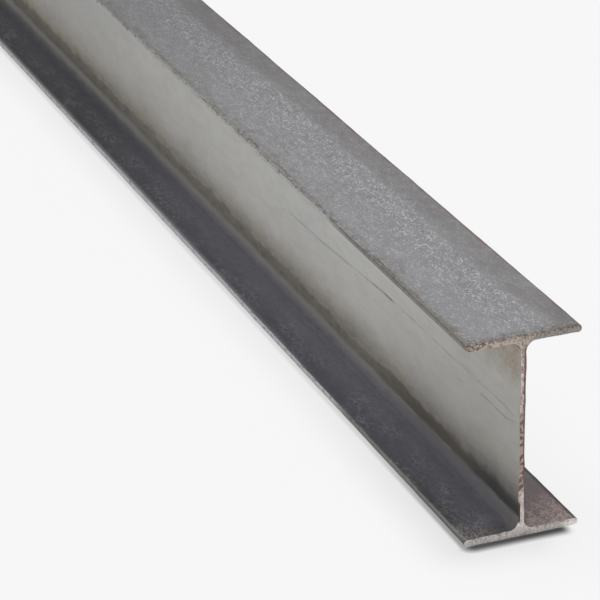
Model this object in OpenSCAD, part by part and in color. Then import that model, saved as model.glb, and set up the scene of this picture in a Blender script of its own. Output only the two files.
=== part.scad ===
// Light hot-rolled steel I-beam: two parallel-faced flanges on a thin web,
// rolled in one piece and sawn square to length. Millimetres.
// The beam lies along X and stands on its lower flange, with Z up.

/* [Section] */
// Depth of the section, over both flanges
depth = 101.6; // [80:0.1:300]
// Width of each flange
flange_w = 57.15; // [40:0.05:150]
// Thickness of each flange
flange_t = 3.3; // [2.5:0.1:8]
// Thickness of the web
web_t = 2.35; // [1.5:0.05:8]
// Radius of the rolled fillet where the web runs into a flange
root_r = 5; // [2:0.1:12]
// Radius that the rolls leave on the corners of the flange toes
toe_r = 1.2; // [0.2:0.05:1.2]

/* [Length] */
// Length that the stock is sawn to
length = 1219.2; // [150:0.1:12192]

/* [Hidden] */
$fn = 64;
mill_scale_colour = [0.47, 0.46, 0.45];
web_h = depth - 2 * flange_t;
eps = 0.01;

// Area between a square corner at the origin and the arc that touches both
// of its sides, spreading into the +X +Y quarter.
module corner_cusp(r) {
    difference() {
        translate([-eps, -eps]) square(r + eps);
        translate([r, r]) circle(r);
    }
}

// One flange in section, from y = 0 up to its thickness, with all four toe
// corners rounded.
module flange_section() {
    difference() {
        translate([-flange_w / 2, 0]) square([flange_w, flange_t]);
        for (side = [0, 1], face = [0, 1])
            mirror([side, 0])
                translate([-flange_w / 2, face * flange_t])
                    mirror([0, face]) corner_cusp(toe_r);
    }
}

// The web in section with the two root fillets at its foot. It overlaps the
// lower flange a little and stops at half of the depth.
module half_web_section() {
    translate([-web_t / 2, flange_t - eps]) square([web_t, web_h / 2 + 2 * eps]);
    for (side = [0, 1])
        mirror([side, 0])
            translate([web_t / 2, flange_t]) corner_cusp(root_r);
}

// Half of the section, mirrored about mid-depth into the whole.
module half_section() {
    flange_section();
    half_web_section();
}

module beam_section() {
    half_section();
    translate([0, depth]) mirror([0, 1]) half_section();
}

module i_beam() {
    color(mill_scale_colour)
        rotate([90, 0, 90])
            linear_extrude(height = length, center = true) beam_section();
}

i_beam();
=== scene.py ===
"""Looks of a light rolled steel I-beam: weathered mill scale, a satin web and rough sawn ends."""

import math

import bmesh
import bpy
from mathutils import Matrix, Vector, noise


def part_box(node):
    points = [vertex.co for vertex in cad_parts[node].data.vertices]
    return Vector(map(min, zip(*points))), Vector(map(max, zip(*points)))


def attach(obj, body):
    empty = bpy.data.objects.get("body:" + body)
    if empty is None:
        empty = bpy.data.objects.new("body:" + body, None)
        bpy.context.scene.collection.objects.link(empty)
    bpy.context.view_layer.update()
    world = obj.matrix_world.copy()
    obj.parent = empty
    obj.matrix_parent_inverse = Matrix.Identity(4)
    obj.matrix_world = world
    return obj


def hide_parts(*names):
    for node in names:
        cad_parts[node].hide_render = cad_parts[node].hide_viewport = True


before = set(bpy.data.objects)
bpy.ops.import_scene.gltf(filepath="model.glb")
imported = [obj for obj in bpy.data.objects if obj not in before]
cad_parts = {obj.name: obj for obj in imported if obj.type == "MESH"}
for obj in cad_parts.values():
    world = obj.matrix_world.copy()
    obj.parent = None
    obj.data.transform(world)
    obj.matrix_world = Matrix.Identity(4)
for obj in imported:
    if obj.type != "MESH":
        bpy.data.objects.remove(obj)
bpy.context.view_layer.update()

# Sizes of the beam in metres, in the frame's own axes
MM = 0.001
beam_low, beam_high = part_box("i_beam")
near_x = beam_high.x
far_x = beam_low.x
depth = beam_high.z
half_w = beam_high.y
flange_t = 3.3 * MM
web_t = 2.35 * MM
root_r = 5 * MM
toe_r = 1.2 * MM

# Spacing of the mesh: along the beam, across a flange and up the web
ring_step = 4 * MM
flange_step = 2.4 * MM
web_step = 4 * MM
end_rings = [0, 0.5 * MM, 1.1 * MM, 2 * MM, 3.4 * MM]
root_segments = 8
toe_segments = 5

# Depth of the relief that rolling and sawing leave
web_ripple = 0.14 * MM
toe_wave = 0.25 * MM
toe_ragged = 0.16 * MM
saw_tooth = 0.16 * MM
burr = 0.35 * MM

# Length of the waves of this relief, and how far it reaches from a toe and from a sawn end
ripple_length = 34 * MM
toe_wave_length = 45 * MM
toe_ragged_length = 8 * MM
fine_saw_length = 3 * MM
coarse_saw_length = 9 * MM
burr_length = 2.2 * MM
toe_reach = 5 * MM
saw_reach = 3 * MM

# How far the lower and the upper flange are rolled off centre, towards +Y
flange_shift = (0.5 * MM, 0.1 * MM)


# Mesh of the beam

def cut(bm, point, normal):
    """Cuts every face of the mesh along one plane."""
    geom = bm.verts[:] + bm.edges[:] + bm.faces[:]
    bmesh.ops.bisect_plane(bm, geom=geom, plane_co=point, plane_no=normal, dist=1e-7)


def steps(low, high, step):
    """Evenly spaced values from low to high, about one step apart."""
    count = max(1, round((high - low) / step))
    return [low + (high - low) * i / count for i in range(count + 1)]


def rolled_section(bm, x):
    """The I outline as one face at x, with hollow roots and rounded toes, cut into small cells."""
    side = [(half_w, 0), (half_w, flange_t), (web_t / 2, flange_t)]
    side += [(y, depth - z) for y, z in reversed(side)]
    outline = side + [(-y, z) for y, z in reversed(side)]
    corners = [bm.verts.new((x, y, z)) for y, z in outline]
    bm.faces.new(corners)
    roots = [v for v in corners if abs(v.co.y) < half_w / 2]
    toes = [v for v in corners if v not in roots]
    for rounded, radius, segments in ((roots, root_r, root_segments), (toes, toe_r, toe_segments)):
        bmesh.ops.bevel(
            bm, geom=rounded, offset=radius, offset_type="OFFSET", affect="VERTICES",
            segments=segments, profile=0.5, material=-1,
        )
    toe_start = half_w - toe_r
    toe_hold = toe_start - 0.25 * MM
    root_hold = web_t / 2 + root_r + 0.3 * MM
    across = steps(-toe_hold, toe_hold, flange_step) + [-toe_start, toe_start, -root_hold, root_hold]
    for y in across:
        cut(bm, (x, y, 0), (0, 1, 0))
    for z in steps(flange_t + root_r, depth - flange_t - root_r, web_step):
        cut(bm, (x, 0, z), (0, 0, 1))
    for z in (flange_t / 2, flange_t, depth - flange_t, depth - flange_t / 2):
        cut(bm, (x, 0, z), (0, 0, 1))
    return bm.faces[:]


def roll_out(bm, section, stations):
    """Draws the section out along X through every station, as the rolls do with the billet."""
    cap = section
    for here, there in zip(stations, stations[1:]):
        made = bmesh.ops.extrude_face_region(bm, geom=cap)["geom"]
        # Only the two ends stay as faces across the beam
        if cap is not section:
            bmesh.ops.delete(bm, geom=cap, context="FACES")
        cap = [g for g in made if isinstance(g, bmesh.types.BMFace)]
        moved = [g for g in made if isinstance(g, bmesh.types.BMVert)]
        bmesh.ops.translate(bm, verts=moved, vec=(there - here, 0, 0))


def ease(value, low, high):
    """Smooth step from 0 at low to 1 at high."""
    t = min(1, max(0, (value - low) / (high - low)))
    return t * t * (3 - 2 * t)


def wave(x, y, z, length, seed):
    """Smooth noise from -1 to 1 whose bumps are about one length apart."""
    return noise.noise(Vector((x, y, z)) / length + Vector((seed, 7.3 * seed, 3.1 * seed)))


def relief(co):
    """Where a point of the perfect beam lies on the real one."""
    x, y, z = co
    off = Vector((0, 0, 0))
    # The thin web ripples between the flanges, both of its faces together
    on_web = ease(z, flange_t, flange_t + 3 * root_r) * ease(depth - z, flange_t, flange_t + 3 * root_r)
    if abs(y) < half_w / 2:
        off.y += on_web * web_ripple * wave(0.8 * x, 0, z, ripple_length, 1)
    # The toes wander and are a little ragged
    on_toe = ease(abs(y), half_w - toe_reach, half_w)
    level = 0 if z < depth / 2 else 1
    from_face = min(z, depth - z)
    if on_toe > 0:
        edge = 5 * level + (2 if y > 0 else 1)
        wander = toe_wave * wave(x, 0, 0, toe_wave_length, edge)
        wander += toe_ragged * wave(x, 0, 0, toe_ragged_length, edge + 20)
        off.y += math.copysign(on_toe, y) * wander
    # The flanges, above all the lower one, are rolled a little off centre
    if from_face < 1.5 * flange_t:
        off.y += flange_shift[level] * ease(abs(y), web_t / 2 + root_r, half_w)
    # The saw leaves uneven ends
    for end, way in ((near_x, 1), (far_x, -1)):
        reach = 1 - ease(abs(x - end), 0, saw_reach)
        if reach > 0:
            teeth = wave(0, y, z, fine_saw_length, 31 + way) + wave(0, y, z, coarse_saw_length, 33 + way)
            off.x += reach * saw_tooth * teeth
    return off


def burred_rim(bm):
    """Pushes the rim of each sawn end outwards in places, as a burr."""
    for edge in bm.edges:
        if len(edge.link_faces) != 2:
            continue
        caps = [f for f in edge.link_faces if abs(f.normal.x) > 0.9]
        if len(caps) != 1:
            continue
        edge.smooth = False
        for v in edge.verts:
            v.tag = True
    for v in bm.verts:
        if v.tag:
            side = sum((f.normal for f in v.link_faces if abs(f.normal.x) < 0.9), Vector())
            side.x = 0
            rough = ease(wave(v.co.x, v.co.y, v.co.z, burr_length, 41), 0.0, 0.6)
            if v.co.z > 0.2 * MM:
                v.co += side.normalized() * burr * rough


def beam_zone(face):
    """Material slot of a face: 0 outer flange, 1 inside of a channel, 2 sawn end."""
    if abs(face.normal.x) > 0.9:
        return 2
    middle = face.calc_center_median()
    inside = flange_t * 0.8 < middle.z < depth - flange_t * 0.8 and abs(middle.y) < half_w - 0.5 * toe_r
    return 1 if inside else 0


def beam_piece():
    """The beam as one closed mesh with its three finishes."""
    bm = bmesh.new()
    inner = steps(far_x + end_rings[-1], near_x - end_rings[-1], ring_step)
    stations = [far_x + d for d in end_rings[:-1]] + inner + [near_x - d for d in reversed(end_rings[:-1])]
    roll_out(bm, rolled_section(bm, far_x), stations)
    bmesh.ops.recalc_face_normals(bm, faces=bm.faces[:])
    for face in bm.faces:
        face.smooth = True
        face.material_index = beam_zone(face)
    burred_rim(bm)
    for v in bm.verts:
        v.co += relief(v.co)
    mesh = bpy.data.meshes.new("rolled_beam")
    bm.to_mesh(mesh)
    bm.free()
    piece = bpy.data.objects.new("rolled_beam", mesh)
    bpy.context.scene.collection.objects.link(piece)
    for material in (outer_flange_scale(), channel_scale(), sawn_end()):
        mesh.materials.append(material)
    return piece


# Materials

class Graph:
    """Adds nodes to one material and hands back their sockets."""

    def __init__(self, name):
        self.material = bpy.data.materials.new(name)
        self.material.use_nodes = True
        self.nodes = self.material.node_tree.nodes
        self.links = self.material.node_tree.links
        self.shader = self.nodes["Principled BSDF"]
        self.place = self.nodes.new("ShaderNodeTexCoord").outputs["Object"]
        split = self.nodes.new("ShaderNodeSeparateXYZ")
        self.links.new(self.place, split.inputs[0])
        self.x, self.y, self.z = split.outputs
        self.from_near_end = self.math("SUBTRACT", near_x, self.x)
        self.from_any_end = self.math("SUBTRACT", near_x, self.math("ABSOLUTE", self.x))

    def feed(self, value, socket):
        if isinstance(value, bpy.types.NodeSocket):
            self.links.new(value, socket)
        else:
            socket.default_value = value

    def math(self, operation, *values):
        node = self.nodes.new("ShaderNodeMath")
        node.operation = operation
        for value, socket in zip(values, node.inputs):
            self.feed(value, socket)
        return node.outputs[0]

    def both(self, *shares):
        """Share where all of these shares hold."""
        product = shares[0]
        for share in shares[1:]:
            product = self.math("MULTIPLY", product, share)
        return product

    def ramp(self, value, low, high, start=0.0, end=1.0):
        """Smooth change from start to end as value goes from low to high."""
        node = self.nodes.new("ShaderNodeMapRange")
        node.interpolation_type = "SMOOTHSTEP"
        fed = {"Value": value, "From Min": low, "From Max": high, "To Min": start, "To Max": end}
        for name, v in fed.items():
            self.feed(v, node.inputs[name])
        return node.outputs["Result"]

    def noise(self, size, stretch=1.0, detail=2.0, seed=0.0, rise=1.0):
        """Noise from 0 to 1 with features of about that size, drawn out along the beam by stretch.

        A rise below 1 draws them out upwards as well."""
        mapping = self.nodes.new("ShaderNodeMapping")
        self.links.new(self.place, mapping.inputs["Vector"])
        mapping.inputs["Location"].default_value = (seed, seed, seed)
        mapping.inputs["Scale"].default_value = (1 / stretch, 1, rise)
        node = self.nodes.new("ShaderNodeTexNoise")
        self.links.new(mapping.outputs[0], node.inputs["Vector"])
        node.inputs["Scale"].default_value = 1 / size
        node.inputs["Detail"].default_value = detail
        return node.outputs["Fac"]

    def apart(self, value, middle):
        """How far a value is from a middle one, to either side."""
        return self.math("ABSOLUTE", self.math("SUBTRACT", value, middle))

    def veins(self, size, stretch, width, seed=0.0):
        """Share of thin winding veins, the lines along which noise is halfway."""
        off = self.apart(self.noise(size, stretch, 4.0, seed), 0.5)
        return self.ramp(off, width, 0.2 * width)

    def wander(self, value, reach, size, stretch=1.0, seed=0.0, rise=1.0):
        """A value that noise moves up and down by up to about reach."""
        swing = self.math("SUBTRACT", self.noise(size, stretch, 2.0, seed, rise), 0.5)
        return self.math("ADD", value, self.math("MULTIPLY", swing, 4 * reach))

    def stroke(self, points, width, level):
        """Share of a thin scratch through points, each (distance from the near end, level)."""
        wavering = self.wander(level, 0.12 * MM, 12 * MM)
        share = 0.0
        for (x1, l1), (x2, l2) in zip(points, points[1:]):
            slope = (l2 - l1) / (x2 - x1)
            line = self.math("MULTIPLY_ADD", self.from_near_end, slope, l1 - slope * x1)
            off = self.apart(wavering, line)
            soft = min(3 * MM, 0.2 * abs(x2 - x1))
            inside = self.both(
                self.ramp(self.from_near_end, min(x1, x2) - soft, min(x1, x2)),
                self.ramp(self.from_near_end, max(x1, x2) + soft, max(x1, x2)),
            )
            share = self.math("MAXIMUM", share, self.both(self.ramp(off, width, 0.3 * width), inside))
        return share

    def mix(self, share, a, b):
        node = self.nodes.new("ShaderNodeMix")
        node.data_type = "RGBA"
        for value, socket in ((share, node.inputs[0]), (a, node.inputs[6]), (b, node.inputs[7])):
            self.feed(value, socket)
        return node.outputs[2]

    def bump(self, height, distance, under=None):
        node = self.nodes.new("ShaderNodeBump")
        self.feed(height, node.inputs["Height"])
        node.inputs["Distance"].default_value = distance
        if under is not None:
            self.links.new(under, node.inputs["Normal"])
        return node.outputs[0]

    def speckle(self, size, stretch, low, high, seed=0.0):
        """Share of small irregular specks, where fine noise passes from low to high."""
        return self.ramp(self.noise(size, stretch, 3.0, seed), low, high)

    def finish(self, colour, metallic, roughness, normal):
        self.shader.inputs["Specular Tint"].default_value = glancing_tint
        self.feed(colour, self.shader.inputs["Base Color"])
        self.feed(metallic, self.shader.inputs["Metallic"])
        self.feed(roughness, self.shader.inputs["Roughness"])
        self.feed(normal, self.shader.inputs["Normal"])
        return self.material


# Finishes as linear colours
glancing_tint = (0.65, 0.65, 0.65, 1)
blue_scale = (0.336, 0.336, 0.353, 1)
dull_scale = (0.300, 0.299, 0.305, 1)
grey_scale = (0.302, 0.302, 0.318, 1)
plum_scale = (0.224, 0.211, 0.213, 1)
olive_scale = (0.272, 0.267, 0.252, 1)
warm_scale = (0.300, 0.282, 0.276, 1)
cool_scale = (0.274, 0.290, 0.304, 1)
painted_far_shade = (0.128, 0.127, 0.136, 1)
painted_glint = (0.64, 0.64, 0.67, 1)
dark_fleck = (0.180, 0.178, 0.180, 1)
toe_pale = (0.47, 0.465, 0.44, 1)
toe_white = (0.56, 0.56, 0.565, 1)
toe_dull = (0.245, 0.243, 0.228, 1)
dark_toe = (0.135, 0.126, 0.112, 1)
red_rust = (0.25, 0.125, 0.118, 1)
brown_rust = (0.325, 0.260, 0.198, 1)
web_pale = (0.570, 0.560, 0.530, 1)
web_cool = (0.525, 0.523, 0.507, 1)
web_warm = (0.570, 0.535, 0.470, 1)
web_green = (0.530, 0.540, 0.515, 1)
web_shade = (0.267, 0.263, 0.254, 1)
web_painted_light = (0.700, 0.680, 0.625, 1)
web_brown = (0.670, 0.605, 0.495, 1)
root_highlight_line = (0.460, 0.450, 0.420, 1)
web_gold = (0.560, 0.485, 0.365, 1)
web_olive = (0.258, 0.235, 0.203, 1)
web_dark = (0.130, 0.118, 0.103, 1)
web_black = (0.066, 0.064, 0.061, 1)
root_highlight_pale = (0.342, 0.333, 0.313, 1)
root_dull = (0.236, 0.232, 0.222, 1)
root_dark = (0.136, 0.136, 0.151, 1)
charcoal = (0.204, 0.201, 0.236, 1)
charcoal_dark = (0.098, 0.098, 0.116, 1)
charcoal_old_and_far_shade = (0.056, 0.056, 0.062, 1)
charcoal_fleck = (0.44, 0.43, 0.46, 1)
plum_brown = (0.186, 0.153, 0.153, 1)
plum_dark = (0.125, 0.112, 0.112, 1)
worn_brown = (0.50, 0.400, 0.370, 1)
worn_grey = (0.44, 0.405, 0.390, 1)
dark_rim = (0.07, 0.067, 0.060, 1)
bare_steel = (0.95, 0.91, 0.88, 1)
pink_steel = (0.60, 0.495, 0.460, 1)
pale_pink = (0.92, 0.79, 0.76, 1)
tan_steel = (0.478, 0.408, 0.354, 1)
plum_steel = (0.32, 0.285, 0.262, 1)
brown_steel = (0.19, 0.135, 0.105, 1)
maroon_edge = (0.15, 0.075, 0.070, 1)
saw_pit = (0.085, 0.072, 0.060, 1)


def outer_flange_scale():
    """Grainy mill scale of the outer flange faces, sparkling along the middle, with worn toes."""
    g = Graph("outer_flange_scale")
    across = g.wander(g.y, 2 * MM, 30 * MM, 2, 3)
    smooth = g.ramp(across, 9 * MM, 19 * MM)
    sparkling = g.both(g.ramp(across, -14 * MM, 3 * MM), g.ramp(across, 17 * MM, 8 * MM))
    patch = g.noise(9 * MM, 2, 4, 1)
    colour = g.mix(g.ramp(patch, 0.3, 0.7), dull_scale, blue_scale)
    colour = g.mix(g.both(sparkling, 0.8), colour, grey_scale)
    colour = g.mix(smooth, colour, g.mix(g.ramp(patch, 0.45, 0.70, 0.2, 0.7), plum_scale, dull_scale))
    colour = g.mix(g.ramp(across, -18 * MM, -28 * MM, 0.0, 0.7), colour, olive_scale)
    colour = g.mix(g.ramp(g.from_any_end, 90 * MM, 20 * MM, 0.0, 0.12), colour, olive_scale)
    tint = g.noise(5 * MM, 2, 3, 42)
    tinted = g.ramp(sparkling, 0.0, 1.0, 0.45, 0.22)
    colour = g.mix(g.both(g.ramp(tint, 0.50, 0.68), tinted), colour, warm_scale)
    colour = g.mix(g.both(g.ramp(tint, 0.50, 0.32), tinted), colour, cool_scale)
    # Grain: painted glints as pale flecks, and dark gaps, strongest along the middle and faint on the smooth
    # side
    grain = g.math("MULTIPLY_ADD", g.noise(3.0 * MM, 2.0, 2, 7), 0.42, g.noise(0.95 * MM, 1.8, 4))
    strength = g.both(
        g.math("MULTIPLY_ADD", smooth, -0.20, g.ramp(sparkling, 0.0, 1.0, 0.40, 0.66)),
        g.ramp(g.from_any_end, 5 * MM, 80 * MM, 0.8, 1.0),
    )
    colour = g.mix(g.both(g.ramp(grain, 0.75, 0.865), strength), colour, painted_glint)
    colour = g.mix(g.both(g.ramp(grain, 0.665, 0.535), strength, 0.9), colour, dark_fleck)
    # Painted shade: the scale darker away from the near end, where the top face mirrors the dimmer horizon
    colour = g.mix(g.ramp(g.from_near_end, 260 * MM, 560 * MM, 0.0, 0.32), colour, painted_far_shade)
    # Dark smudges beside the toes
    toe_side = g.ramp(g.math("ABSOLUTE", across), half_w - 14 * MM, half_w - 2 * MM)
    smudge = g.both(
        g.ramp(g.noise(6 * MM, 2, 4, 11), 0.54, 0.68), toe_side, g.ramp(g.y, -1 * MM, 1 * MM, 0.5, 0.2),
    )
    colour = g.mix(smudge, colour, dark_fleck)
    # Toes: a pale rubbed face, duller near the ends, under a dark broken line
    inwards = g.math("SUBTRACT", half_w, g.math("ABSOLUTE", g.y))
    from_face = g.math("MINIMUM", g.z, g.math("SUBTRACT", depth, g.z))
    past_edge = g.math("SUBTRACT", inwards, from_face)
    toe_face = g.mix(g.ramp(g.z, 10 * MM, 5 * MM), toe_pale, toe_white)
    dull_part = g.ramp(g.wander(g.from_any_end, 4 * MM, 12 * MM), 168 * MM, 138 * MM)
    toe_face = g.mix(dull_part, toe_face, toe_dull)
    toe_specks = g.both(g.speckle(1.3 * MM, 2.0, 0.50, 0.64, 29), g.ramp(g.z, 5 * MM, 10 * MM, 0.05, 0.3))
    toe_face = g.mix(toe_specks, toe_face, dark_toe)
    colour = g.mix(g.ramp(past_edge, 0.9 * MM, -0.5 * MM), colour, toe_face)
    shown_toe = g.ramp(g.y, 1 * MM, -1 * MM)
    ragged = g.wander(g.wander(past_edge, 1.0 * MM, 40 * MM, 2, 5), 1.1 * MM, 2.5 * MM, 1.7, 16)
    line = g.ramp(g.apart(ragged, 1.2 * MM), 2.0 * MM, 0.2 * MM)
    broken = g.both(
        g.ramp(g.noise(9 * MM, 3, 4, 13), 0.42, 0.60, 0.15, 0.85),
        g.ramp(g.noise(2 * MM, 2, 3, 20), 0.36, 0.60, 0.15, 1.0), shown_toe,
    )
    colour = g.mix(g.both(line, broken), colour, dark_toe)
    specks = g.both(
        g.speckle(1.4 * MM, 2.0, 0.56, 0.66, 30), g.ramp(past_edge, 6 * MM, 1 * MM), shown_toe, 0.6,
    )
    colour = g.mix(specks, colour, dark_toe)
    end_line = g.both(
        g.ramp(g.apart(past_edge, 0.9 * MM), 1.8 * MM, 0.2 * MM),
        g.ramp(g.from_any_end, 130 * MM, 60 * MM), shown_toe, 0.35,
    )
    colour = g.mix(end_line, colour, dark_toe)
    # The other toe has a thin dark edge and red rust in places
    other_toe = g.ramp(shown_toe, 1.0, 0.0)
    thin_edge = g.ramp(g.wander(past_edge, 0.3 * MM, 6 * MM, 2, 31), 1.3 * MM, 0.6 * MM)
    colour = g.mix(g.both(thin_edge, other_toe, 0.9), colour, dark_toe)
    rust = g.both(
        g.ramp(g.noise(9 * MM, 3, 3, 9), 0.46, 0.60), g.ramp(past_edge, 3.0 * MM, 0.8 * MM),
        g.ramp(g.wander(past_edge, 0.3 * MM, 4 * MM, 2, 37), -1.3 * MM, -0.3 * MM, 0.12, 1.0),
        g.ramp(other_toe, 0.0, 1.0, 0.12, 0.7),
    )
    colour = g.mix(rust, colour, red_rust)
    # Dull speckled ends, darkest at one corner
    dark_corner = g.both(g.ramp(g.from_any_end, 34 * MM, 4 * MM), g.ramp(across, 12 * MM, 24 * MM), 0.45)
    colour = g.mix(dark_corner, colour, dark_toe)
    end = g.ramp(g.wander(g.from_any_end, 2 * MM, 6 * MM), 9 * MM, 1 * MM)
    colour = g.mix(g.both(end, 0.5), colour, plum_scale)
    colour = g.mix(g.both(end, g.speckle(1.0 * MM, 1.4, 0.52, 0.62, 15), 0.8), colour, dark_toe)
    colour = g.mix(g.both(end, g.speckle(1.0 * MM, 1.4, 0.56, 0.66, 27), 0.6), colour, toe_pale)
    end_rim = g.ramp(g.wander(g.from_any_end, 0.5 * MM, 3 * MM), 2.4 * MM, 0.8 * MM)
    colour = g.mix(g.both(end_rim, g.speckle(1.5 * MM, 1, 0.48, 0.60, 38), 0.55), colour, dark_rim)
    roughness = g.ramp(sparkling, 0.0, 1.0, 0.38, 0.46)
    return g.finish(colour, 1.0, roughness, g.bump(grain, 0.05 * MM))


# Scratches on the web: points as (distance from the near end, height), half width and strength
web_scratches = [
    (
        [(284 * MM, 52.3 * MM), (241 * MM, 53.3 * MM), (209 * MM, 54.9 * MM), (170 * MM, 57.3 * MM)],
        0.70 * MM, 0.37,
    ),
    ([(171 * MM, 57.3 * MM), (160 * MM, 57.9 * MM), (147 * MM, 58.1 * MM)], 0.95 * MM, 0.66),
    ([(147 * MM, 58.1 * MM), (110 * MM, 58.4 * MM), (72 * MM, 58.4 * MM)], 0.60 * MM, 0.38),
    ([(72 * MM, 58.4 * MM), (54 * MM, 59.4 * MM), (44 * MM, 59.3 * MM)], 0.60 * MM, 0.18),
    ([(44 * MM, 59.3 * MM), (15 * MM, 59.4 * MM), (8 * MM, 58.4 * MM)], 0.60 * MM, 0.40),
    ([(41 * MM, 53.9 * MM), (15 * MM, 53.8 * MM), (6 * MM, 55.5 * MM)], 0.60 * MM, 0.46),
    ([(69 * MM, 50.5 * MM), (60 * MM, 51.0 * MM)], 0.70 * MM, 0.20),
    ([(295 * MM, 50.4 * MM), (292 * MM, 50.6 * MM)], 0.70 * MM, 0.50),
]
# A dark nick in the dirt along the lower root, as points of the same kind
dirt_nick = [(331 * MM, 16.0 * MM), (327 * MM, 10.5 * MM)]


def web_colour(g, dirt, fringe, golden, spots):
    """Satin scale of the web, scratched, stained at the ends and dirty along the lower root."""
    colour = g.mix(g.ramp(g.noise(45 * MM, 3, 3), 0.35, 0.65), web_cool, web_pale)
    # Painted light: the web paler low down, where it mirrors the dark lower flange
    painted_low_light = g.both(
        g.ramp(g.z, 52 * MM, 22 * MM, 0.0, 0.8), g.ramp(g.from_any_end, 130 * MM, 230 * MM, 1.0, 0.85),
    )
    colour = g.mix(painted_low_light, colour, web_painted_light)
    colour = g.mix(g.both(g.speckle(14 * MM, 2.5, 0.42, 0.78, 2), 0.12), colour, web_shade)
    colour = g.mix(g.both(g.speckle(4 * MM, 3.2, 0.40, 0.70, 43), 0.14), colour, web_shade)
    tint = g.noise(6 * MM, 3.0, 3, 44)
    colour = g.mix(g.ramp(tint, 0.50, 0.68, 0.0, 0.35), colour, web_warm)
    colour = g.mix(g.ramp(tint, 0.50, 0.32, 0.0, 0.35), colour, web_green)
    colour = g.mix(g.both(g.speckle(1.6 * MM, 2.2, 0.62, 0.74, 21), 0.25), colour, web_shade)
    # Duller towards the ends, and darker away from the near one as painted shade
    dull_ends_and_far_shade = g.math(
        "ADD",
        g.ramp(g.from_any_end, 240 * MM, 0.0, 0.0, 0.40),
        g.ramp(g.from_near_end, 300 * MM, 700 * MM, 0.0, 0.32),
    )
    colour = g.mix(dull_ends_and_far_shade, colour, web_shade)
    # Scratches, on the side that the photo shows
    shown_side = g.ramp(g.y, 0.3 * MM, -0.3 * MM)
    worn_out = g.ramp(g.noise(4 * MM, 2.5, 3, 26), 0.34, 0.60, 0.35, 1.0)
    for points, width, strength in web_scratches:
        share = g.both(g.stroke(points, width, g.z), shown_side, worn_out, strength)
        colour = g.mix(share, colour, web_dark)
    # Rust stain under the upper flange at the sawn ends
    under_flange = g.wander(g.math("SUBTRACT", depth, g.z), 4 * MM, 9 * MM, 1, 17)
    stain = g.both(
        g.ramp(under_flange, 32 * MM, 18 * MM),
        g.ramp(g.wander(g.from_any_end, 5 * MM, 9 * MM, 1, 46), 48 * MM, 32 * MM),
        g.ramp(g.from_any_end, 0.0, 8 * MM, 0.6, 1.0),
    )
    cloudy = g.ramp(g.noise(5 * MM, 2.0, 3, 18), 0.36, 0.60, 0.45, 0.75)
    colour = g.mix(g.both(stain, cloudy), colour, brown_rust)
    colour = g.mix(g.both(stain, g.speckle(1.5 * MM, 2, 0.52, 0.64, 22), 0.3), colour, web_dark)
    # Dirt along the lower root: brown patches above it, olive, and darker towards the ends
    colour = g.mix(fringe, colour, web_brown)
    colour = g.mix(golden, colour, web_gold)
    band = g.mix(g.both(g.speckle(4 * MM, 2.0, 0.45, 0.70, 32), 0.5), web_olive, web_dark)
    band = g.mix(g.ramp(g.from_any_end, 190 * MM, 100 * MM), band, web_dark)
    band = g.mix(g.ramp(g.from_near_end, 520 * MM, 680 * MM, 0.0, 0.35), band, web_dark)
    band = g.mix(g.ramp(g.from_any_end, 65 * MM, 25 * MM), band, web_black)
    colour = g.mix(dirt, colour, band)
    colour = g.mix(spots, colour, web_dark)
    colour = g.mix(g.both(g.stroke(dirt_nick, 1.0 * MM, g.z), shown_side, 0.75), colour, web_black)
    # Painted highlight: a paler band and a thin pale line along the root, where it curves into the web
    root = g.mix(g.ramp(g.from_any_end, 190 * MM, 100 * MM), root_highlight_pale, root_dull)
    up_root = g.wander(g.z, 0.6 * MM, 9 * MM, 2, 25)
    colour = g.mix(g.ramp(up_root, 11.4 * MM, 8.0 * MM), colour, root)
    highlight_line = g.ramp(g.apart(up_root, 8.8 * MM), 0.8 * MM, 0.1 * MM)
    return g.mix(g.both(highlight_line, g.speckle(7 * MM, 3.0, 0.40, 0.60, 41), 0.5), colour, root_highlight_line)


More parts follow.
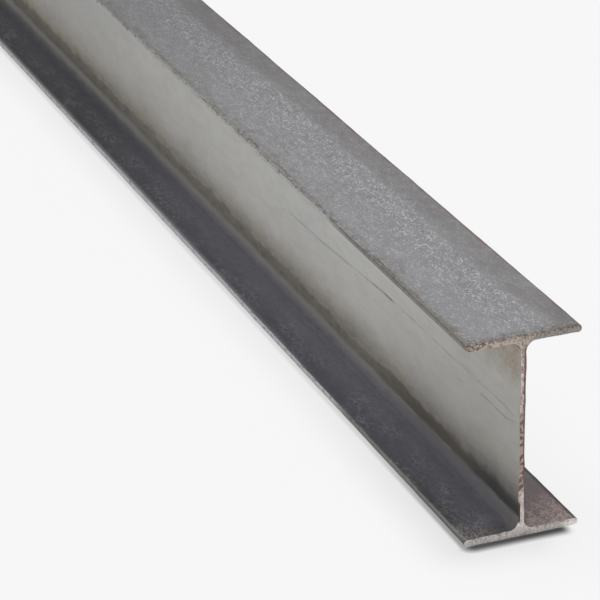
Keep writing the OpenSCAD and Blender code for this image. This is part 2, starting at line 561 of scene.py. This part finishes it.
def inner_flange_colour(g, fine):
    """Charcoal on the shown side and plum brown on the other, specked, and scuffed at the ends."""
    off_web = g.math("ABSOLUTE", g.y)
    # Paler near the web, as painted light that offsets the shade the web casts there, darker towards the toe
    colour = g.mix(g.ramp(off_web, 6 * MM, 26 * MM), charcoal, charcoal_dark)
    colour = g.mix(g.ramp(off_web, 5.8 * MM, 4.0 * MM), colour, root_dark)
    # Painted shade: darker away from the near end
    colour = g.mix(g.ramp(g.from_near_end, 330 * MM, 620 * MM, 0.0, 0.6), colour, charcoal_old_and_far_shade)
    colour = g.mix(g.ramp(g.from_any_end, 170 * MM, 60 * MM, 0.0, 0.33), colour, charcoal_dark)
    plum_side = g.ramp(g.y, -2 * MM, 2 * MM)
    colour = g.mix(plum_side, colour, plum_brown)
    clump = g.both(g.ramp(g.noise(14 * MM, 2, 3, 12), 0.40, 0.60), g.ramp(off_web, 8 * MM, 16 * MM, 0.2, 1.0))
    colour = g.mix(g.both(g.veins(3.4 * MM, 1.8, 0.045, 33), clump, 0.26), colour, charcoal_fleck)
    colour = g.mix(g.both(g.ramp(fine, 0.60, 0.70), clump, 0.28), colour, charcoal_fleck)
    shown_side = g.ramp(plum_side, 1.0, 0.0)
    blotch = g.noise(4.5 * MM, 2.0, 3, 45)
    colour = g.mix(g.ramp(blotch, 0.50, 0.68, 0.0, 0.04), colour, charcoal_fleck)
    colour = g.mix(g.both(g.ramp(blotch, 0.50, 0.32), shown_side, 0.1), colour, charcoal_old_and_far_shade)
    chips = g.noise(1.7 * MM, 1.6, 2, 48)
    colour = g.mix(g.both(g.ramp(chips, 0.64, 0.70), clump, 0.26), colour, charcoal_fleck)
    colour = g.mix(g.both(g.ramp(chips, 0.37, 0.31), clump, shown_side, 0.5), colour, charcoal_old_and_far_shade)
    # Ends: plum brown with a pale smear, and scuffed at the outer corner
    end_brown = g.both(g.ramp(g.wander(g.from_any_end, 3 * MM, 8 * MM), 15 * MM, 7 * MM), shown_side, 0.6)
    colour = g.mix(end_brown, colour, plum_dark)
    smear = g.both(
        g.ramp(g.apart(g.wander(g.from_any_end, 3 * MM, 6 * MM), 15 * MM), 5 * MM, 1 * MM),
        g.ramp(off_web, 16 * MM, 12 * MM), g.ramp(off_web, 5 * MM, 8 * MM), shown_side, 0.12,
    )
    colour = g.mix(smear, colour, worn_grey)
    colour = g.mix(g.both(g.ramp(fine, 0.46, 0.34), 0.25), colour, charcoal_old_and_far_shade)
    worn = g.ramp(g.wander(g.from_any_end, 5 * MM, 10 * MM), 20 * MM, 5 * MM)
    scuffs = g.math("MAXIMUM", g.veins(2.2 * MM, 1.5, 0.06, 14), g.speckle(0.9 * MM, 1.8, 0.56, 0.66, 34))
    corner = g.ramp(off_web, 10 * MM, 20 * MM, 0.08, 0.55)
    colour = g.mix(g.both(scuffs, worn, shown_side, corner), colour, worn_grey)
    plum_worn = g.both(g.ramp(g.wander(g.from_any_end, 6 * MM, 12 * MM), 32 * MM, 6 * MM), plum_side)
    colour = g.mix(g.both(scuffs, plum_worn, 0.8), colour, worn_brown)
    colour = g.mix(g.both(g.speckle(4 * MM, 2.0, 0.46, 0.60, 28), plum_worn, 0.5), colour, worn_brown)
    # Edges: dark near the ends, rubbed pale away from the near one, and dark on the plum side
    dark_edge = g.both(
        g.ramp(off_web, half_w - 7 * MM, half_w - 2 * MM), shown_side,
        g.ramp(g.from_any_end, 80 * MM, 40 * MM), g.ramp(g.from_any_end, 12 * MM, 20 * MM), 0.5,
    )
    colour = g.mix(dark_edge, colour, charcoal_old_and_far_shade)
    rubbed = g.both(
        g.ramp(off_web, half_w - 4.2 * MM, half_w - 0.8 * MM), shown_side,
        g.ramp(g.from_near_end, 100 * MM, 480 * MM), 0.62,
    )
    colour = g.mix(rubbed, colour, charcoal_fleck)
    rim = g.ramp(off_web, half_w - 2.4 * MM, half_w - 1.2 * MM)
    return g.mix(g.both(rim, plum_side, 0.8), colour, dark_rim)


def channel_scale():
    """Inside of the channels: the web, the roots and the inner flange faces."""
    g = Graph("channel_scale")
    fine = g.noise(1.4 * MM, 1.5, 5)
    # The dirt along the lower root has an uneven edge, which swells and dips along the beam
    dirt_top = 17 * MM
    edge = g.wander(g.wander(g.z, 1.6 * MM, 22 * MM, 1.8, 4, 0.2), 1.2 * MM, 7 * MM, 1.6, 6, 0.2)
    softer = g.ramp(g.from_any_end, 30 * MM, 120 * MM, 0.35, 1.0)
    edge = g.math("MULTIPLY_ADD", g.math("SUBTRACT", edge, dirt_top), softer, dirt_top)
    swell = g.ramp(g.apart(g.from_any_end, 142 * MM), 32 * MM, 6 * MM, 0.0, 1.6 * MM)
    dip = g.ramp(g.apart(g.from_any_end, 195 * MM), 28 * MM, 6 * MM, 0.0, 2.1 * MM)
    far_rise = g.ramp(g.from_near_end, 530 * MM, 650 * MM, 0.0, 1.6 * MM)
    near_rise = g.ramp(g.from_any_end, 75 * MM, 35 * MM, 0.0, 0.5 * MM)
    rises = g.math("ADD", g.math("ADD", swell, far_rise), near_rise)
    edge = g.math("ADD", g.math("SUBTRACT", edge, rises), dip)
    dirt = g.ramp(edge, 19.9 * MM, 15.4 * MM)
    fringe = g.both(
        g.ramp(edge, 29 * MM, 19 * MM), g.ramp(g.noise(16 * MM, 2.6, 4, 23), 0.36, 0.62, 0.25, 0.6),
        g.ramp(g.from_any_end, 50 * MM, 170 * MM, 0.3, 1.0),
    )
    rim = g.ramp(g.apart(edge, dirt_top), 2.2 * MM, 0.3 * MM)
    specks = g.both(
        g.ramp(edge, 30 * MM, 19 * MM), g.speckle(2.6 * MM, 3.0, 0.53, 0.67, 47),
        g.ramp(g.from_any_end, 50 * MM, 150 * MM, 0.3, 1.0), 0.2,
    )
    spots = g.math("MAXIMUM", specks, g.both(rim, g.speckle(5 * MM, 2.0, 0.52, 0.64, 24), 0.5))
    above = g.ramp(g.apart(edge, 20.5 * MM), 4.0 * MM, 0.5 * MM)
    golden = g.both(
        above, g.ramp(g.noise(11 * MM, 2.0, 2, 40), 0.46, 0.66),
        g.ramp(g.from_any_end, 60 * MM, 170 * MM), 0.36,
    )
    web = web_colour(g, dirt, fringe, golden, spots)
    # The root runs down from the web into the darker flange
    from_face = g.math("MINIMUM", g.z, g.math("SUBTRACT", depth, g.z))
    on_flange = g.ramp(g.wander(from_face, 0.3 * MM, 9 * MM, 2, 8), 7.6 * MM, 4.2 * MM)
    colour = g.mix(on_flange, web, inner_flange_colour(g, fine))
    # Dirt and the charcoal scale are duller than the web
    flange = g.ramp(from_face, 7.4 * MM, 6.0 * MM)
    low_dirt = g.ramp(dirt, 0.0, 1.0, 1.0, 0.25)
    metallic = g.math(
        "MINIMUM", g.math("MULTIPLY_ADD", flange, 0.25, low_dirt), g.ramp(flange, 0.0, 1.0, 1.0, 0.5),
    )
    roughness = g.ramp(dirt, 0.0, 1.0, 0.37, 0.57)
    return g.finish(colour, metallic, roughness, g.bump(fine, 0.02 * MM))


def sawn_end():
    """Bare steel of the saw cut: bright at the foot, pinkish up the web, tan to plum across the top."""
    g = Graph("sawn_end")
    marks = g.noise(1.1 * MM, 1, 4)
    foot = g.ramp(g.wander(g.z, 2.5 * MM, 4 * MM), 25 * MM, 15 * MM)
    off_web = g.math("ABSOLUTE", g.y)
    bare = g.both(foot, g.ramp(g.z, 5 * MM, 9 * MM, 1.0, 0.6), g.ramp(off_web, 4 * MM, 10 * MM, 0.74, 1.0))
    colour = g.mix(bare, pink_steel, bare_steel)
    dim_part = g.both(
        g.ramp(g.z, 21 * MM, 31 * MM), g.ramp(g.wander(g.z, 4 * MM, 6 * MM), 64 * MM, 50 * MM), 0.40,
    )
    colour = g.mix(dim_part, colour, brown_steel)
    bright_part = g.both(g.ramp(g.z, 56 * MM, 68 * MM), g.ramp(g.y, 0.6 * MM, -0.2 * MM), 0.28)
    colour = g.mix(bright_part, colour, pale_pink)
    head = g.ramp(g.z, depth - 12 * MM, depth - 5 * MM)
    colour = g.mix(head, colour, tan_steel)
    colour = g.mix(g.both(head, g.ramp(g.wander(g.y, 3 * MM, 5 * MM), 0.0, 10 * MM)), colour, plum_steel)
    # The lower flange is duller along its upper edge, towards both of its toes
    low_flange = g.ramp(g.z, 5 * MM, 4 * MM)
    upper_edge = g.both(
        g.ramp(g.wander(g.z, 0.5 * MM, 3 * MM), 1.3 * MM, 2.9 * MM), low_flange,
        g.ramp(off_web, 4 * MM, 20 * MM, 0.2, 0.5), g.ramp(g.y, -2 * MM, 6 * MM, 0.6, 0.5),
    )
    colour = g.mix(upper_edge, colour, brown_steel)
    grit = g.both(g.speckle(1.5 * MM, 1, 0.51, 0.58, 36), low_flange, g.ramp(off_web, 3 * MM, 6 * MM))
    colour = g.mix(g.both(grit, g.ramp(g.z, 0.8 * MM, 2.8 * MM, 0.12, 0.6)), colour, brown_steel)
    right_toe = g.both(g.ramp(g.y, 8 * MM, 26 * MM), low_flange, 0.2)
    colour = g.mix(right_toe, colour, plum_steel)
    # Painted shade: a dark maroon line along one edge of the web, the shadow of its burr, wider higher up;
    # and a black line along the other edge low down
    on_web = g.both(g.ramp(off_web, 3 * MM, 2 * MM), g.ramp(g.z, depth - 4 * MM, depth - 8 * MM))
    burr_side = g.math("ADD", g.y, g.ramp(g.z, 48 * MM, 62 * MM, 0.0, 0.28 * MM))
    burr_shadow_line = g.both(
        g.ramp(g.wander(burr_side, 0.35 * MM, 3 * MM), 0.25 * MM, 0.8 * MM), g.ramp(g.z, 20 * MM, 30 * MM),
        on_web, 0.85,
    )
    colour = g.mix(burr_shadow_line, colour, maroon_edge)
    low_burr = g.both(
        g.ramp(g.y, -0.2 * MM, -0.6 * MM), g.ramp(g.z, 6 * MM, 8 * MM), g.ramp(g.z, 19 * MM, 16 * MM), on_web,
    )
    colour = g.mix(low_burr, colour, web_black)
    # Rust blotches, redder at the left of the head, and pits
    above_foot = g.ramp(foot, 1.0, 0.0, 0.3, 1.0)
    blotch = g.both(
        g.speckle(2.0 * MM, 1, 0.46, 0.64, 3), above_foot, g.ramp(g.y, -6 * MM, -14 * MM, 0.45, 0.7),
    )
    colour = g.mix(blotch, colour, brown_steel)
    spots = g.both(
        g.speckle(2.2 * MM, 1, 0.49, 0.56, 35), on_web, above_foot, g.ramp(g.z, 54 * MM, 66 * MM, 0.9, 0.4),
    )
    colour = g.mix(spots, colour, maroon_edge)
    red = g.both(g.speckle(1.8 * MM, 1, 0.48, 0.56, 19), g.ramp(g.y, -15 * MM, -19 * MM), head, 0.85)
    colour = g.mix(red, colour, maroon_edge)
    colour = g.mix(g.both(g.ramp(marks, 0.46, 0.36), above_foot, 0.65), colour, saw_pit)
    top_rim = g.ramp(g.wander(g.z, 0.3 * MM, 3 * MM), depth - 1.5 * MM, depth - 0.5 * MM)
    colour = g.mix(g.both(top_rim, g.speckle(1.4 * MM, 1, 0.46, 0.58, 39), 0.7), colour, saw_pit)
    return g.finish(colour, 0.6, 0.55, g.bump(marks, 0.2 * MM))


# Stage: floor, light and camera

floor_half = 60
floor_white = 0.925
floor_glow = 0.84
world_fill = 0.3
lamp_spread = 40
lamp_from = Vector((-0.27, -0.10, 0.96))
front_lamp_from = Vector((0.97, -0.10, 0.20))
front_energy = 0.70

# Brightness of the studio's walls low down and high up, and the slopes at which they begin
low_sky = 0.25
high_sky = 1.22
low_sky_slope = 0.12
high_sky_slope = 0.5


def pale_floor():
    """A wide shooting table that glows softly, with the beam's shadow painted into the glow close to its foot
    and its near end.
    """
    bm = bmesh.new()
    bmesh.ops.create_grid(bm, x_segments=1, y_segments=1, size=floor_half)
    mesh = bpy.data.meshes.new("pale_floor")
    bm.to_mesh(mesh)
    bm.free()
    floor = bpy.data.objects.new("pale_floor", mesh)
    bpy.context.scene.collection.objects.link(floor)
    g = Graph("pale_floor")
    past_end = g.math("MAXIMUM", g.math("MULTIPLY", g.from_any_end, -1.0), 0.0)
    past_side = g.math("MAXIMUM", g.math("SUBTRACT", g.math("ABSOLUTE", g.y), half_w), 0.0)
    gap = g.math("SQRT", g.math("ADD", g.both(past_end, past_end), g.both(past_side, past_side)))
    # Painted shadow: the glow fades just before the near end
    painted_end_shadow = g.both(
        g.ramp(g.from_any_end, 6 * MM, -2 * MM), g.ramp(g.y, half_w - 1.5 * MM, half_w - 9.5 * MM),
        g.ramp(g.y, -half_w - 8.5 * MM, -half_w + 5.0 * MM), 0.93,
    )
    # Painted shadow: the glow fades along the foot of the beam, more near the ends, on the shaded side
    beside = g.math(
        "MULTIPLY_ADD", g.ramp(gap, 3.0 * MM, 0.4 * MM), g.ramp(g.from_any_end, 130 * MM, 0.0, 0.16, 0.36),
        g.both(g.ramp(gap, 38 * MM, 0.0, 0.0, 0.17), g.ramp(g.from_any_end, 200 * MM, 30 * MM, 1.0, 1.45)),
    )
    shaded_side = g.ramp(g.y, half_w, 0.0)
    painted_shadow = g.math("MAXIMUM", g.both(g.ramp(gap, 11.0 * MM, 1.0 * MM), painted_end_shadow), g.both(beside, shaded_side))
    albedo = floor_white - floor_glow
    g.shader.inputs["Base Color"].default_value = (albedo, albedo, albedo, 1)
    g.shader.inputs["Roughness"].default_value = 1.0
    g.shader.inputs["Specular IOR Level"].default_value = 0.0
    g.shader.inputs["Emission Color"].default_value = (1, 1, 1, 1)
    g.feed(g.ramp(painted_shadow, 0.0, 1.0, floor_glow, 0.0), g.shader.inputs["Emission Strength"])
    mesh.materials.append(g.material)


def studio_light():
    """Broad soft lamps overhead and before the near end, and a white world for camera and reflections."""
    top_energy = math.pi * (1 - world_fill) / lamp_from.normalized().z
    for name, place, energy in (
        ("soft_top_lamp", lamp_from, top_energy), ("soft_front_lamp", front_lamp_from, front_energy),
    ):
        lamp = bpy.data.lights.new(name, "SUN")
        lamp.angle = math.radians(lamp_spread)
        lamp.energy = energy
        holder = bpy.data.objects.new(name, lamp)
        holder.rotation_euler = place.to_track_quat("Z", "Y").to_euler()
        bpy.context.scene.collection.objects.link(holder)
        holder.visible_glossy = place is not lamp_from
    world = bpy.data.worlds.new("white_studio")
    bpy.context.scene.world = world
    world.use_nodes = True
    nodes, links = world.node_tree.nodes, world.node_tree.links
    # The studio darkens towards its horizon, which the far end of the top face mirrors
    split = nodes.new("ShaderNodeSeparateXYZ")
    links.new(nodes.new("ShaderNodeTexCoord").outputs["Generated"], split.inputs[0])
    sky = nodes.new("ShaderNodeMapRange")
    links.new(split.outputs["Z"], sky.inputs["Value"])
    sky.inputs["From Min"].default_value = low_sky_slope
    sky.inputs["From Max"].default_value = high_sky_slope
    sky.inputs["To Min"].default_value = low_sky
    sky.inputs["To Max"].default_value = high_sky
    rays = nodes.new("ShaderNodeLightPath")
    seen = rays.outputs["Is Camera Ray"]
    for ray in ("Is Glossy Ray", "Is Transmission Ray"):
        either = nodes.new("ShaderNodeMath")
        either.operation = "MAXIMUM"
        links.new(seen, either.inputs[0])
        links.new(rays.outputs[ray], either.inputs[1])
        seen = either.outputs[0]
    strength = nodes.new("ShaderNodeMapRange")
    links.new(seen, strength.inputs["Value"])
    strength.inputs["To Min"].default_value = world_fill
    links.new(sky.outputs[0], strength.inputs["To Max"])
    links.new(strength.outputs[0], nodes["Background"].inputs["Strength"])
    nodes["Background"].inputs["Color"].default_value = (1, 1, 1, 1)


def photo_camera():
    """The photo's view: a long lens looking down on the near end from the left."""
    azimuth = math.radians(68.721)
    elevation = math.radians(24.322)
    roll = math.radians(-0.933)
    frame_px = 600
    focal_px = 2980.6
    distance = 1352 * MM
    aim_height = 1.5 * half_w
    aim_right = -100.76 * MM
    aim_up = 69.19 * MM
    back = Vector((
        math.sin(azimuth) * math.cos(elevation),
        -math.cos(azimuth) * math.cos(elevation),
        math.sin(elevation),
    ))
    level = Vector((0, 0, 1)).cross(back).normalized()
    rise = back.cross(level)
    right = math.cos(roll) * level + math.sin(roll) * rise
    up = math.cos(roll) * rise - math.sin(roll) * level
    aim = Vector((near_x, 0, aim_height)) + right * aim_right + up * aim_up
    data = bpy.data.cameras.new("photo_camera")
    data.sensor_width = 36
    data.lens = data.sensor_width * focal_px / frame_px
    camera = bpy.data.objects.new("photo_camera", data)
    turn = Matrix((right, up, back)).transposed().to_4x4()
    camera.matrix_world = Matrix.Translation(aim + back * distance) @ turn
    bpy.context.scene.collection.objects.link(camera)
    bpy.context.scene.camera = camera


beam = beam_piece()
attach(beam, "root")
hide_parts("i_beam")
pale_floor()
studio_light()
photo_camera()
bpy.context.scene.view_settings.view_transform = "Standard"
